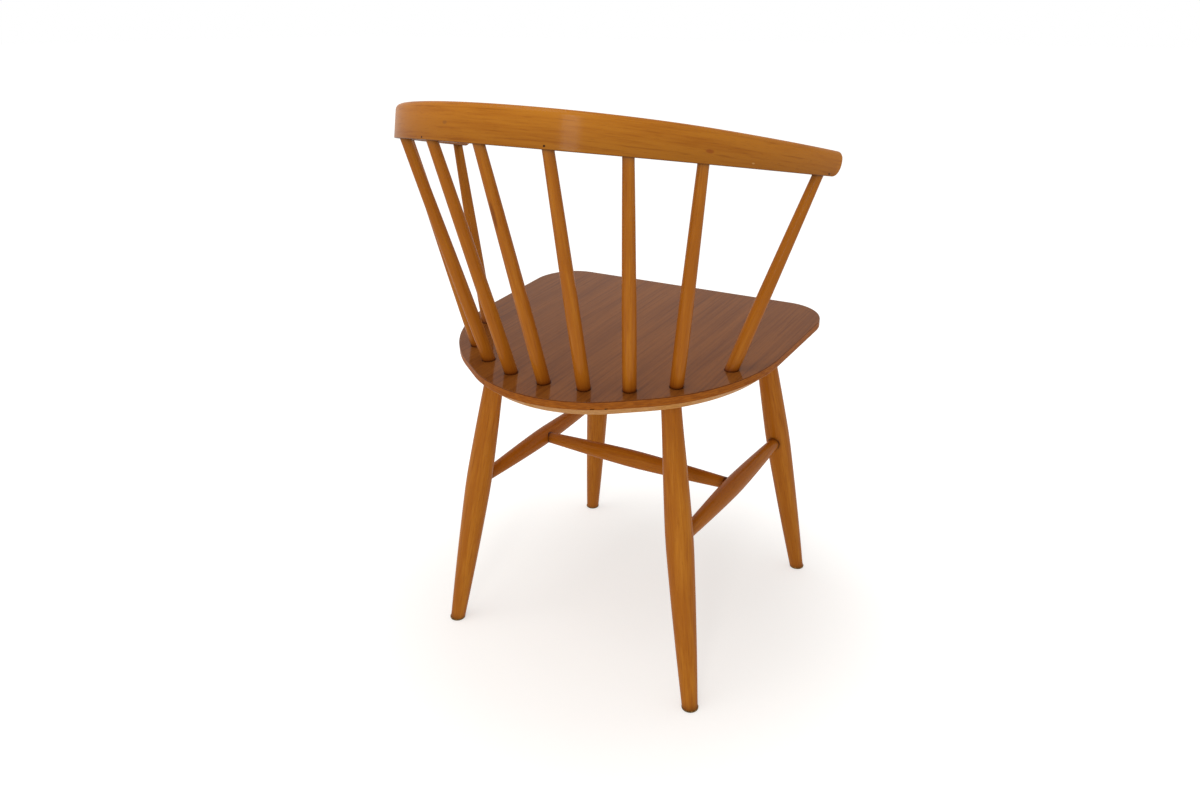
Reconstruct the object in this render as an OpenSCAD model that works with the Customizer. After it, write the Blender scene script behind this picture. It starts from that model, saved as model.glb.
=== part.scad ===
// Low spindle-back chair: a veneered plywood seat on four splayed turned legs with an H stretcher,
// and a bent rail that wraps round the back and sides on nine turned spindles.
// +Z is up, the sitter faces -Y, and the origin is on the floor under the middle of the chair.
// Left and right are the sitter's: left is +X.

/* [Seat] */
// Height of the seat's top above the floor, halfway between the front and back feet
seat_h = 440; // [400:1:480]
// Slope of the seat down towards the back, in degrees
seat_tilt = 4.2; // [0:0.1:8]
// Thickness of the seat panel
seat_t = 24; // [18:0.5:30]
// Height of the square band round the seat's upper edge, above the bevel
seat_band = 10; // [6:0.5:14]
// How far the bevel under the band runs in
seat_bevel = 16; // [2:0.5:20]
// Radius of the seat's round back
seat_back_r = 173; // [170:1:185]
// How far the centre of the round back lies behind the middle of the feet
seat_back_y = 96; // [92:1:105]
// Radius of the seat's sides
seat_side_r = 220.5; // [212:0.5:222]
// How far the centre of the sides lies behind the middle of the feet
seat_side_y = 37.5; // [30:0.5:39]
// Radius of the two front corners
seat_corner_r = 59.5; // [45:0.5:70]
// Distance between the centres of the front corners
seat_corner_w = 328; // [318:1:336]
// How far the straight front edge lies in front of the middle of the feet
seat_front = 145; // [130:1:170]

/* [Legs] */
// Distance between the front feet, centre to centre
foot_w_front = 386; // [340:1:460]
// Distance between the back feet, centre to centre
foot_w_back = 380; // [340:1:460]
// Distance from the front feet to the back feet, centre to centre
foot_d = 389; // [330:1:460]
// Distance between the front legs where they enter the seat
leg_top_w_front = 259; // [220:1:280]
// Distance between the back legs where they enter the seat
leg_top_w_back = 255; // [220:1:270]
// How far in front of the middle of the feet the front legs enter the seat
leg_top_front = 122; // [90:1:128]
// How far behind the middle of the feet the back legs enter the seat
leg_top_back = 154; // [120:1:160]
// Leg diameter at the floor
leg_foot_d = 21; // [15:0.5:26]
// Leg diameter at its fattest, where the side stretchers enter
leg_belly_d = 35; // [30:0.5:42]
// Leg diameter at the seat, which is also its tenon
leg_top_d = 24.5; // [20:0.5:27]
// Depth of the leg's socket in the underside of the seat
leg_socket = 13; // [8:0.5:15]

/* [Stretchers] */
// Height of the side stretchers at the back legs
stretcher_z_back = 225; // [180:1:270]
// Height of the side stretchers at the front legs
stretcher_z_front = 233; // [180:1:270]
// Diameter of a side stretcher at its ends, which are its tenons
side_end_d = 16.5; // [12:0.5:20]
// Diameter of a side stretcher in the middle
side_belly_d = 26; // [22:0.5:32]
// Diameter of the cross stretcher at its ends, which are its tenons
cross_end_d = 16.5; // [11:0.5:17]
// Diameter of the cross stretcher in the middle
cross_belly_d = 25.5; // [20:0.5:30]
// Depth of a side stretcher's tenon in a leg
side_tenon = 18; // [12:0.5:22]
// Depth of the cross stretcher's tenon in a side stretcher
cross_tenon = 14; // [9:0.5:17]

/* [Spindles] */
// Number of spindles round the curved back, an odd number
back_spindles = 7; // [5:2:7]
// Radius of the circle that the back spindles' feet stand on
spindle_ring_r = 206; // [190:1:210]
// How far the centre of that circle lies behind the middle of the feet
spindle_ring_y = 25; // [15:0.5:35]
// Angle between the feet of neighbouring back spindles, in degrees
spindle_foot_step = 14.7; // [12:0.1:16]
// Distance of the two arm spindles' feet from the middle of the ring
arm_foot_r = 197; // [180:1:205]
// Angle of the arm spindles' feet from the back, in degrees
arm_foot_angle = 67.8; // [62:0.1:90]
// Angle between the tops of neighbouring back spindles along the rail's bend, in degrees
spindle_top_step = 20.1; // [16:0.1:21]
// Distance from the arm spindles' tops to the ends of the rail
arm_top_setback = 27; // [20:1:60]
// Diameter that a spindle tapers from, a little above the seat
spindle_belly_d = 16.6; // [14:0.1:20]
// Diameter of a spindle's neck at the seat, which is also its tenon there
spindle_foot_d = 16.4; // [13:0.1:18]
// Spindle diameter at the rail, which is also its tenon there
spindle_top_d = 12.2; // [8:0.1:13]
// Depth of a spindle's socket in the seat
spindle_foot_socket = 12; // [8:0.5:15]
// Depth of a spindle's socket in the rail
spindle_top_socket = 10; // [6:0.5:11]

/* [Back rail] */
// Height of the rail's lower edge at the middle of the back
rail_z = 707; // [660:1:760]
// How far behind the middle of the feet the rail's centre line runs at the back
rail_back = 333; // [300:1:350]
// Slope of the rail's lower edge, down towards its ends, in degrees
rail_tilt = 9.6; // [5:0.1:14]
// How much steeper the rail's upper edge slopes than its lower edge, in degrees
rail_taper = 2.05; // [1:0.05:2.5]
// Height of the rail at the middle of the back
rail_h = 38.5; // [30:0.5:50]
// Thickness of the rail
rail_t = 19; // [17:0.5:26]
// Radius of the rail's main bend, to its centre line
rail_bend_r = 219; // [210:1:235]
// Angle of the main bend on each side of the middle, in degrees
rail_bend_angle = 63.4; // [61:0.1:70]
// Radius of the gentler bend along each arm
rail_arm_r = 767; // [500:1:1200]
// Length of each arm
rail_arm_len = 198; // [160:1:240]
// Radius along the rail's upper edges
rail_edge_r = 5.5; // [2:0.5:8]
// Radius of the upper corner at each end of the rail
rail_tip_r = 7; // [3:0.5:10]
// Radius of the lower corner at each end of the rail
rail_toe_r = 18; // [10:0.5:20]

/* [Fittings] */
// Diameter of a floor glide
glide_d = 22; // [18:0.5:30]
// Thickness of a floor glide
glide_t = 3; // [2:0.5:5]
// Diameter of a glide's nail
nail_d = 2.4; // [1.6:0.1:4]
// Length of a glide's nail above the glide
nail_len = 15; // [8:1:25]
// Room round each tenon and at the bottom of each socket
glue_gap = 0.1; // [0.05:0.05:0.2]

/* [Hidden] */
$fn = 96;
beech = [0.72, 0.47, 0.18];
beech_rail = [0.68, 0.43, 0.17];
teak = [0.46, 0.31, 0.24];
brass = [0.36, 0.29, 0.16];
left = 1;
right = -1;
// Larger than the chair, for cutting blocks
beyond = 600;
// Straight neck of a spindle above the seat
neck = 4;
// Straight length that a turned end keeps outside its socket
straight_end = 3;
// How far the spindles' tops stand inside the rail's centre line
spindle_inset = 1.5;
// A spindle's shape: share of the way up, and share of the taper's difference still left there
spindle_tapering = [[0.13, 1], [0.34, 0.9], [0.5, 0.73], [0.67, 0.5], [0.84, 0.25]];
// How far each spindle's sockets in the seat and the rail have drifted round towards the left arm
foot_drift = [0, 0, 0, 0.3, 0.5, 1.2, 0.7, -1.4, 1.5];
top_drift = [0, 0, 0, -6.3, 0.4, 2.3, 1.8, -1.5, 3.5];
// Angle between neighbouring points round the seat's outline
seat_arc_step = 2.5;
// Angle by which the rail's two halves overlap past the middle
rail_overlap = 5;
// How far a socket's cutter and a corner's cutter start outside the surface
socket_lead = 10;
corner_lead = 1;
// Two short gaps in an inner ply, which show in the seat's back edge: angle from the back, width
ply_gaps = [[26.65, 5], [31.9, 3.5]];
ply_gap_h = 1.5;
ply_gap_depth = 3;
// Steps between neighbouring points of a turned shape
turning_steps = 6;
// Turns the line where each turned shape's surface begins away from its sockets and level cuts
seam_turn = 135;
// Straight length at a leg's foot, which the level cut runs through
foot_land = 7;
// How far a turned shape stays straight on each side of the socket at its fattest place
land_margin = 2;
// A leg's shape: share of the way up to its fattest place, and share of the swell reached there
leg_swelling = [[0.29, 0.36], [0.58, 0.69], [0.84, 0.92]];
// and share of the way on up to the seat, and share of the narrowing reached there
leg_narrowing = [[0.19, 0.11], [0.48, 0.43], [0.78, 0.84]];
// A stretcher's shape: share of its length from either end, and share of its swell reached there
bar_swelling = [[0.2, 0.42], [0.35, 0.80]];

// The rail's own frame has its origin on the centre line at the back, on the lower edge, and its
// XY plane is parallel to the rail's upper edge.
rail_top_tilt = rail_tilt + rail_taper;
rail_arm_angle = rail_arm_len / rail_arm_r * 180 / PI;

// The back-most line is the rail's lower outer edge, and the front-most is the front glides'.
y_back = rail_back + rail_t / 2 * (cos(rail_top_tilt) + tan(rail_taper) * sin(rail_top_tilt));
y_front = -(foot_d + glide_d) / 2;
y_centre = (y_back + y_front) / 2;

// A point in the seat's own plane: x, y and height above the seat's top
function seat_point(x, y, h = 0) = [x, y * cos(seat_tilt) + h * sin(seat_tilt),
    seat_h - y * sin(seat_tilt) + h * cos(seat_tilt)];
// A point of the rail's own frame
function rail_point(p) = [p[0], rail_back + p[1] * cos(rail_top_tilt) - p[2] * sin(rail_top_tilt),
    rail_z + p[1] * sin(rail_top_tilt) + p[2] * cos(rail_top_tilt)];
// The rail's lower edge plane at y in the rail's frame
function rail_low(y) = -y * tan(rail_taper);
// Centre of the arm's bend, on the left
arm_centre = [(rail_bend_r - rail_arm_r) * sin(rail_bend_angle),
    (rail_bend_r - rail_arm_r) * cos(rail_bend_angle) - rail_bend_r];
// A point on the rail's lower edge, at an angle round the main bend
function bend_point(a) = let (r = rail_bend_r - spindle_inset, y = r * cos(a) - rail_bend_r)
    rail_point([r * sin(a), y, rail_low(y)]);
// A point on the rail's lower edge along an arm, measured back from the arm's end
function arm_point(side, setback) =
    let (a = rail_bend_angle + rail_arm_angle - setback / rail_arm_r * 180 / PI,
        r = rail_arm_r - spindle_inset, y = arm_centre[1] + r * cos(a))
    rail_point([side * (arm_centre[0] + r * sin(a)), y, rail_low(y)]);

// Feet and tops of spindle number i, counted from the left arm (1) round the back to the right arm
last_spindle = back_spindles + 2;
middle_spindle = (last_spindle + 1) / 2;
// A point at angle a round a circle of radius r, and a drift on round it
function ring_point(r, a, drift) = let (b = a + drift / r * 180 / PI)
    seat_point(r * sin(b), spindle_ring_y + r * cos(b));
function spindle_foot(i) = i == 1 ? ring_point(arm_foot_r, arm_foot_angle, foot_drift[0])
    : i == last_spindle ? ring_point(arm_foot_r, -arm_foot_angle, foot_drift[i - 1])
    : ring_point(spindle_ring_r, (middle_spindle - i) * spindle_foot_step, foot_drift[i - 1]);
function spindle_top(i) = i == 1 ? arm_point(left, arm_top_setback - top_drift[0])
    : i == last_spindle ? arm_point(right, arm_top_setback + top_drift[i - 1])
    : bend_point((middle_spindle - i) * spindle_top_step + top_drift[i - 1] / rail_bend_r * 180 / PI);

// Feet and tops of the legs' centre lines
function leg_foot(side, front) = [side * (front ? foot_w_front : foot_w_back) / 2,
    (front ? -1 : 1) * foot_d / 2, 0];
function leg_top(side, front) = seat_point(side * (front ? leg_top_w_front : leg_top_w_back) / 2,
    front ? -leg_top_front : leg_top_back, -seat_t);
// The point at height z on a leg's centre line
function leg_at(side, front, z) = let (a = leg_foot(side, front), b = leg_top(side, front))
    a + (b - a) * z / b[2];
function side_end(side, front) = leg_at(side, front, front ? stretcher_z_front : stretcher_z_back);
function cross_end(side) = (side_end(side, true) + side_end(side, false)) / 2;

// A smooth curve through points, each [height, diameter]
function curve_at(p, i, t) =
    let (n = len(p) - 1, a = p[max(i - 1, 0)], b = p[i], c = p[i + 1], d = p[min(i + 2, n)])
    (2 * b + (c - a) * t + (2 * a - 5 * b + 4 * c - d) * t * t + (3 * b - a - 3 * c + d) * t * t * t) / 2;
function smooth_curve(p) = [
    for (i = [0 : len(p) - 2], s = [0 : turning_steps - 1]) curve_at(p, i, s / turning_steps),
    p[len(p) - 1]];

// A turned shape: a list of [height, diameter] spun about Z
module turned(outline) {
    n = len(outline) - 1;
    rotate(seam_turn) rotate_extrude() polygon(concat(
        [[0, outline[0][0]]], [for (q = outline) [q[1] / 2, q[0]]], [[0, outline[n][0]]]));
}

// Puts children along the line from a to b, with their Z axis on it and their origin at a
module along(a, b) {
    d = b - a;
    translate(a) rotate([0, acos(d[2] / norm(d)), atan2(d[1], d[0])]) children();
}

// A straight socket for a tenon, from just outside the surface to its depth
module socket(d, depth) {
    translate([0, 0, -depth - glue_gap]) cylinder(d = d + 2 * glue_gap, h = depth + glue_gap + socket_lead);
}

// Moves the chair from the middle of its feet to the middle of its outline
module placed() {
    translate([0, -y_centre, 0]) children();
}

module in_seat_frame() {
    translate([0, 0, seat_h]) rotate([-seat_tilt, 0, 0]) children();
}

module in_rail_frame() {
    translate([0, rail_back, rail_z]) rotate([rail_top_tilt, 0, 0]) children();
}

// The circles that the seat's outline wraps round, left half: centre and radius of the round back,
// the sides and a front corner
seat_circles = [[[0, seat_back_y], seat_back_r], [[0, seat_side_y], seat_side_r],
    [[seat_corner_w / 2, seat_corner_r - seat_front], seat_corner_r]];
// The angle at which the outer tangent of circles p and q touches them, on the left, with p behind q
function tangent_angle(p, q) = let (d = q[0] - p[0]) atan2(d[1], d[0]) + acos((p[1] - q[1]) / norm(d));
// Where the outline passes from each circle to the next, from the middle of the back to the straight front
seat_turns = [90, tangent_angle(seat_circles[0], seat_circles[1]),
    tangent_angle(seat_circles[1], seat_circles[2]), -90];
// Points along one circle of the outline, run in by inset
function seat_arc(k, inset) = let (c = seat_circles[k], turn = seat_turns[k + 1] - seat_turns[k],
    steps = ceil(abs(turn) / seat_arc_step))
    [for (i = [0 : steps]) let (a = seat_turns[k] + turn * i / steps)
        c[0] + (c[1] - inset) * [cos(a), sin(a)]];
function seat_half(inset) = [for (k = [0 : 2], p = seat_arc(k, inset)) p];
// The whole outline, whose right half leaves out the point at the middle of the back
function seat_outline(inset) = let (half = seat_half(inset))
    concat(half, [for (i = [len(half) - 1 : -1 : 1]) [-half[i][0], half[i][1]]]);

// The seat's blank, from rings of points: round the top, round the foot of the band, and underneath
module seat_blank() {
    edge = seat_outline(0);
    n = len(edge);
    polyhedron(concat([for (p = edge) [p[0], p[1], 0]], [for (p = edge) [p[0], p[1], -seat_band]],
        [for (p = seat_outline(seat_bevel)) [p[0], p[1], -seat_t]]),
        concat([[for (i = [0 : n - 1]) i]], [[for (i = [n - 1 : -1 : 0]) 2 * n + i]],
        [for (k = [0, n], i = [0 : n - 1]) [k + i, k + n + i, k + n + (i + 1) % n, k + (i + 1) % n]]));
}

module seat() {
    color(teak) placed() difference() {
        in_seat_frame() difference() {
            seat_blank();
            for (g = ply_gaps)
                translate([0, seat_back_y, -seat_band]) rotate(90 + g[0])
                    translate([seat_back_r - ply_gap_depth, -g[1] / 2, 0])
                        cube([2 * ply_gap_depth, g[1], ply_gap_h]);
        }
        for (i = [1 : last_spindle])
            along(spindle_foot(i), spindle_top(i)) socket(spindle_foot_d, spindle_foot_socket);
        for (side = [left, right], front = [true, false])
            along(leg_top(side, front), leg_foot(side, front)) socket(leg_top_d, leg_socket);
    }
}

// The rail's section, round along its upper edges and running down past the lower edge
module rail_section() {
    low = rail_low(rail_t);
    square_h = rail_h - rail_edge_r - low;
    translate([-rail_t / 2, low]) square([rail_t, square_h]);
    translate([rail_edge_r - rail_t / 2, low]) square([rail_t - 2 * rail_edge_r, rail_h - low]);
    for (side = [left, right])
        translate([side * (rail_t / 2 - rail_edge_r), rail_h - rail_edge_r]) circle(rail_edge_r);
}

// Cuts the square corner at the origin, between +X and +Y, back to a radius
module corner_cut(r) {
    translate([0, 0, -rail_t]) linear_extrude(2 * rail_t) difference() {
        translate([-1, -1] * corner_lead) square(r + corner_lead);
        translate([r, r]) circle(r);
    }
}

// The waste off one end of the rail, in a frame with +X back along the arm and +Y up
module end_waste() {
    end_y = arm_centre[1] + rail_arm_r * cos(rail_bend_angle + rail_arm_angle);
    translate([0, rail_h]) mirror([0, 1]) corner_cut(rail_tip_r);
    translate([0, rail_low(end_y)]) rotate(-rail_taper) corner_cut(rail_toe_r);
}

// The left arm with the bend as far as just past the middle, where the two halves overlap.
// Arm and bend meet on the XZ plane of one shared frame, so nothing is left between them.
module rail_half() {
    translate([0, -rail_bend_r]) rotate(90 - rail_bend_angle) {
        rotate_extrude(angle = rail_bend_angle + rail_overlap, $fn = 360)
            translate([rail_bend_r, 0]) rail_section();
        translate([rail_bend_r - rail_arm_r, 0]) mirror([0, 1, 0]) difference() {
            rotate_extrude(angle = rail_arm_angle, $fn = 360) translate([rail_arm_r, 0]) rail_section();
            rotate(rail_arm_angle) translate([rail_arm_r, 0, 0]) rotate([90, 0, -90]) end_waste();
        }
    }
}

module back_rail() {
    color(beech_rail) placed() difference() {
        in_rail_frame() difference() {
            union() {
                rail_half();
                mirror([1, 0, 0]) rail_half();
            }
            rotate([-rail_taper, 0, 0]) translate([-beyond, -beyond, -beyond])
                cube([2 * beyond, 2 * beyond, beyond]);
        }
        for (i = [1 : last_spindle])
            along(spindle_top(i), spindle_foot(i)) socket(spindle_top_d, spindle_top_socket);
    }
}

module spindle(i) {
    rise = norm(spindle_top(i) - spindle_foot(i));
    color(beech) placed() along(spindle_foot(i), spindle_top(i)) turned(concat(
        [[-spindle_foot_socket, spindle_foot_d]],
        smooth_curve(concat([[neck, spindle_foot_d]],
            [for (s = spindle_tapering)
                [rise * s[0], spindle_top_d + (spindle_belly_d - spindle_top_d) * s[1]]],
            [[rise - 2 * straight_end, spindle_top_d]])),
        [[rise + spindle_top_socket, spindle_top_d]]));
}

// A leg's outline from the floor up to the seat. The fattest place is where the side stretcher enters.
function leg_outline(rise, belly) = let (land = side_end_d / 2 + land_margin) concat(
    smooth_curve(concat([[foot_land, leg_foot_d]],
        [for (s = leg_swelling) [belly * s[0], leg_foot_d + (leg_belly_d - leg_foot_d) * s[1]]],
        [[belly - land, leg_belly_d]])),
    smooth_curve(concat([[belly + land, leg_belly_d]],
        [for (s = leg_narrowing)
            [belly + (rise - belly) * s[0], leg_belly_d - (leg_belly_d - leg_top_d) * s[1]]],
        [[rise - 2 * straight_end, leg_top_d]])));

module leg(side, front) {
    foot = leg_foot(side, front);
    top = leg_top(side, front);
    rise = norm(top - foot);
    inner = side_end(side, front);
    belly = norm(inner - foot);
    color(beech) placed() difference() {
        along(foot, top) turned(concat([[-leg_foot_d, leg_foot_d]], leg_outline(rise, belly),
            [[rise + leg_socket, leg_top_d]]));
        translate([-beyond, -beyond, glide_t - beyond]) cube([2 * beyond, 2 * beyond, beyond]);
        translate([foot[0], foot[1], glide_t]) rotate([180, 0, 0]) socket(nail_d, nail_len);
        along(inner, side_end(side, !front)) translate([0, 0, leg_belly_d / 2])
            socket(side_end_d, side_tenon);
    }
}

// A cigar-shaped bar from a to b, whose ends go into bars of diameter host_d to the depth of its tenon
module bar(a, b, end_d, belly_d, host_d, tenon) {
    span = norm(b - a);
    land = cross_end_d / 2 + land_margin;
    half = concat([[host_d / 2 - tenon, end_d]], smooth_curve(concat([[host_d / 2 + straight_end, end_d]],
        [for (s = bar_swelling) [span * s[0], end_d + (belly_d - end_d) * s[1]]],
        [[span / 2 - land, belly_d]])));
    along(a, b) turned(concat(half, [for (i = [len(half) - 1 : -1 : 0]) [span - half[i][0], half[i][1]]]));
}

module side_stretcher(side) {
    color(beech) placed() difference() {
        bar(side_end(side, true), side_end(side, false), side_end_d, side_belly_d, leg_belly_d, side_tenon);
        along(cross_end(side), cross_end(-side)) translate([0, 0, side_belly_d / 2])
            socket(cross_end_d, cross_tenon);
    }
}

module cross_stretcher() {
    color(beech) placed()
        bar(cross_end(left), cross_end(right), cross_end_d, cross_belly_d, side_belly_d, cross_tenon);
}

module glide(side, front) {
    foot = leg_foot(side, front);
    color(brass) placed() translate(foot) {
        cylinder(d = glide_d, h = glide_t);
        cylinder(d = nail_d, h = glide_t + nail_len);
    }
}

seat();
back_rail();
spindle(1);  // spindle_1
spindle(2);  // spindle_2
spindle(3);  // spindle_3
spindle(4);  // spindle_4
spindle(5);  // spindle_5
spindle(6);  // spindle_6
spindle(7);  // spindle_7
spindle(8);  // spindle_8
spindle(9);  // spindle_9
leg(left, true);  // leg_front_left
leg(right, true);  // leg_front_right
leg(left, false);  // leg_back_left
leg(right, false);  // leg_back_right
side_stretcher(left);  // side_stretcher_left
side_stretcher(right);  // side_stretcher_right
cross_stretcher();
glide(left, true);  // glide_front_left
glide(right, true);  // glide_front_right
glide(left, false);  // glide_back_left
glide(right, false);  // glide_back_right
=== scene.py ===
# %% [markdown]
# # A low spindle-back chair
#
# The real chair is varnished beech with a veneered plywood seat. A bent rail runs round the back on
# turned spindles, and the seat stands on four splayed turned legs joined by an H of stretchers.
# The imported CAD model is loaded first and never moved. It gives the chair's box and every node's
# place, and it is what each new piece is measured against.

# %% Load the fixed frame
import math

import bpy
import numpy as np
from mathutils import Matrix, Vector


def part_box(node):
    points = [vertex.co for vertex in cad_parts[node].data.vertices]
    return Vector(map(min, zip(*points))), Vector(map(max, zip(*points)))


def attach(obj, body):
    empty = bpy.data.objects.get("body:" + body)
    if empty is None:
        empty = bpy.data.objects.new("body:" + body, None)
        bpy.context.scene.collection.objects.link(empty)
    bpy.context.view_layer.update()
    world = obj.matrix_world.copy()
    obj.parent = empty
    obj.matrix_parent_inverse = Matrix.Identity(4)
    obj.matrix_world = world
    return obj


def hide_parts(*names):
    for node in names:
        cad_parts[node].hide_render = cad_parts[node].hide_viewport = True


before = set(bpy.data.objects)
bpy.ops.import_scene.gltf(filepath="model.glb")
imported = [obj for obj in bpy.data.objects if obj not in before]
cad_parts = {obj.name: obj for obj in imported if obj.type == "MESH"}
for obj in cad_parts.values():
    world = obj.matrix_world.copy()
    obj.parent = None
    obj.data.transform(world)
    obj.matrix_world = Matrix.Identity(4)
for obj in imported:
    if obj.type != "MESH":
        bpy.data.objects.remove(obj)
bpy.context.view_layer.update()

# %% [markdown]
# ## Working habits
#
# Operators act on whatever is selected, and loading leaves the CAD nodes selected, so each step
# starts by deselecting everything. Lengths in this file are written in millimetres, as on a
# workshop drawing, and turned into metres where Blender needs them.

# %% Helpers for selecting and finishing
MM = 0.001


def deselect():
    if bpy.context.object and bpy.context.object.mode != "OBJECT":
        bpy.ops.object.mode_set(mode="OBJECT")
    bpy.ops.object.select_all(action="DESELECT")


def only(piece):
    deselect()
    piece.select_set(True)
    bpy.context.view_layer.objects.active = piece


def editing(kind="VERT"):
    bpy.ops.object.mode_set(mode="EDIT")
    bpy.ops.mesh.select_mode(type=kind)


def pick(piece, kind, wanted):
    """Selects the vertices, edges or faces whose points all pass a test, and stays in edit mode."""
    bpy.ops.object.mode_set(mode="OBJECT")
    mesh = piece.data
    for group in (mesh.vertices, mesh.edges, mesh.polygons):
        group.foreach_set("select", [False] * len(group))
    group = {"VERT": mesh.vertices, "EDGE": mesh.edges, "FACE": mesh.polygons}[kind]
    count = 0
    for item in group:
        points = [item.co] if kind == "VERT" else [mesh.vertices[v].co for v in item.vertices]
        if all(wanted(p) for p in points):
            item.select = True
            count += 1
    editing(kind)
    return count


def apply_modifier(piece, kind, **settings):
    only(piece)
    modifier = piece.modifiers.new(kind.lower(), kind)
    for key, value in settings.items():
        setattr(modifier, key, value)
    bpy.ops.object.modifier_apply(modifier=modifier.name)


def place(piece, matrix):
    """Moves a piece and puts the move into its mesh, so that its object stays at the origin."""
    only(piece)
    piece.matrix_world = matrix @ piece.matrix_world
    bpy.ops.object.transform_apply(location=True, rotation=True, scale=True)


def points_of(piece):
    co = np.zeros(len(piece.data.vertices) * 3, np.float32)
    piece.data.vertices.foreach_get("co", co)
    return co.reshape(-1, 3).astype(float)


def keep_vector(piece, name, values):
    layer = piece.data.attributes.new(name, "FLOAT_VECTOR", "POINT")
    layer.data.foreach_set("vector", np.asarray(values, np.float32).ravel())


def keep_number(piece, name, values):
    layer = piece.data.attributes.new(name, "FLOAT", "POINT")
    layer.data.foreach_set("value", np.asarray(values, np.float32).ravel())


def outward(piece):
    only(piece)
    editing()
    bpy.ops.mesh.select_all(action="SELECT")
    bpy.ops.mesh.remove_doubles(threshold=1e-6)
    bpy.ops.mesh.normals_make_consistent(inside=False)
    bpy.ops.object.mode_set(mode="OBJECT")


def smooth(piece, degrees=35):
    """Smooth shading up to an angle, with flat faces kept flat beside their rounded edges."""
    only(piece)
    bpy.ops.object.shade_smooth_by_angle(angle=math.radians(degrees))
    apply_modifier(piece, "WEIGHTED_NORMAL", keep_sharp=True, weight=50)


# %% [markdown]
# ## The chair's own sizes
#
# These are the drawing's numbers. The seat slopes back, so it has a plane of its own, and so does
# the rail, whose upper edge lies in a plane that falls towards the front. Two small functions turn
# a point on each plane into a point in the room.

# %% Seat and rail planes
SEAT_H, SEAT_TILT, SEAT_T, SEAT_BAND, SEAT_BEVEL = 440, 4.2, 24, 10, 16
SEAT_BACK_Y, SEAT_BACK_R = 96, 173
SEAT_SIDE_Y, SEAT_SIDE_R = 37.5, 220.5
CORNER_R, CORNER_W, SEAT_FRONT = 59.5, 328, 145
RAIL_Z, RAIL_BACK, RAIL_TILT, RAIL_TAPER = 707, 333, 9.6, 2.05
RAIL_H, RAIL_T, BEND_R, BEND_ANGLE = 38.5, 19, 219, 63.4
ARM_R, ARM_LEN = 767, 198
FOOT_W_FRONT, FOOT_W_BACK, FOOT_D, GLIDE_D, GLIDE_T = 386, 380, 389, 22, 3
TOP_TILT = math.radians(RAIL_TILT + RAIL_TAPER)
TAPER = math.radians(RAIL_TAPER)
ARM_ANGLE = math.degrees(ARM_LEN / ARM_R)
y_back = RAIL_BACK + RAIL_T / 2 * (math.cos(TOP_TILT) + math.tan(TAPER) * math.sin(TOP_TILT))
y_centre = (y_back - (FOOT_D + GLIDE_D) / 2) / 2
to_origin = Matrix.Translation((0, -y_centre * MM, 0))
seat_plane = (to_origin @ Matrix.Translation((0, 0, SEAT_H * MM))
              @ Matrix.Rotation(-math.radians(SEAT_TILT), 4, "X"))
rail_plane = (to_origin @ Matrix.Translation((0, RAIL_BACK * MM, RAIL_Z * MM))
              @ Matrix.Rotation(TOP_TILT, 4, "X"))


def on_seat(x, y, h=0):
    return seat_plane @ (Vector((x, y, h)) * MM)


def on_rail(x, y, h=0):
    return rail_plane @ (Vector((x, y, h)) * MM)


def rail_low(y):
    """Height of the rail's lower edge above its own plane."""
    return -y * math.tan(TAPER)


print("middle of the feet to middle of the box", round(y_centre, 2), "mm")

# %% [markdown]
# ## The seat
#
# The real seat is a flat plywood panel with a dark veneer on top. Its round back, nearly straight
# sides, rounded front corners and straight front are arcs joined by straight lines. A circle can't
# be scaled into that, so the outline is drawn as with compasses: one point is spun round each
# centre in turn, and pulled straight from one arc to the next.

# %% Draw half the outline
OUTLINE_STEPS = (44, 40, 24)
centres = [((0, SEAT_BACK_Y), SEAT_BACK_R), ((0, SEAT_SIDE_Y), SEAT_SIDE_R),
           ((CORNER_W / 2, CORNER_R - SEAT_FRONT), CORNER_R)]


def tangent(p, q):
    """Angle at which the outer tangent of two circles touches them both."""
    dx, dy = q[0][0] - p[0][0], q[0][1] - p[0][1]
    return math.degrees(math.atan2(dy, dx) + math.acos((p[1] - q[1]) / math.hypot(dx, dy)))


turns = [90, tangent(centres[0], centres[1]), tangent(centres[1], centres[2]), -90]
print("the outline's arcs meet at", [round(t, 2) for t in turns], "degrees")


def spot(k, angle):
    """The point on the outline's arc k at an angle in degrees."""
    (x, y), r = centres[k]
    turned = math.radians(angle)
    return Vector((x + r * math.cos(turned), y + r * math.sin(turned), 0)) * MM


deselect()
bpy.ops.mesh.primitive_plane_add(size=0.001, location=spot(0, 90))
seat = bpy.context.object
seat.name = "seat_panel"
bpy.ops.object.transform_apply(location=True)
editing()
bpy.ops.mesh.select_all(action="SELECT")
bpy.ops.mesh.merge(type="CENTER")
here = spot(0, 90)
for k, steps in enumerate(OUTLINE_STEPS):
    start, end = spot(k, turns[k]), spot(k, turns[k + 1])
    if (start - here).length > 1e-7:
        bpy.ops.mesh.extrude_region_move(TRANSFORM_OT_translate={"value": start - here})
    (x, y), r = centres[k]
    bpy.ops.mesh.spin(steps=steps, angle=math.radians(turns[k] - turns[k + 1]),
                      center=(x * MM, y * MM, 0), axis=(0, 0, 1))
    here = end
bpy.ops.mesh.extrude_region_move(TRANSFORM_OT_translate={"value": (-here.x, 0, 0)})
bpy.ops.object.mode_set(mode="OBJECT")
half = points_of(seat)
print("half outline:", len(half), "points, from", half.min(0).round(4), "to", half.max(0).round(4))

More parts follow.
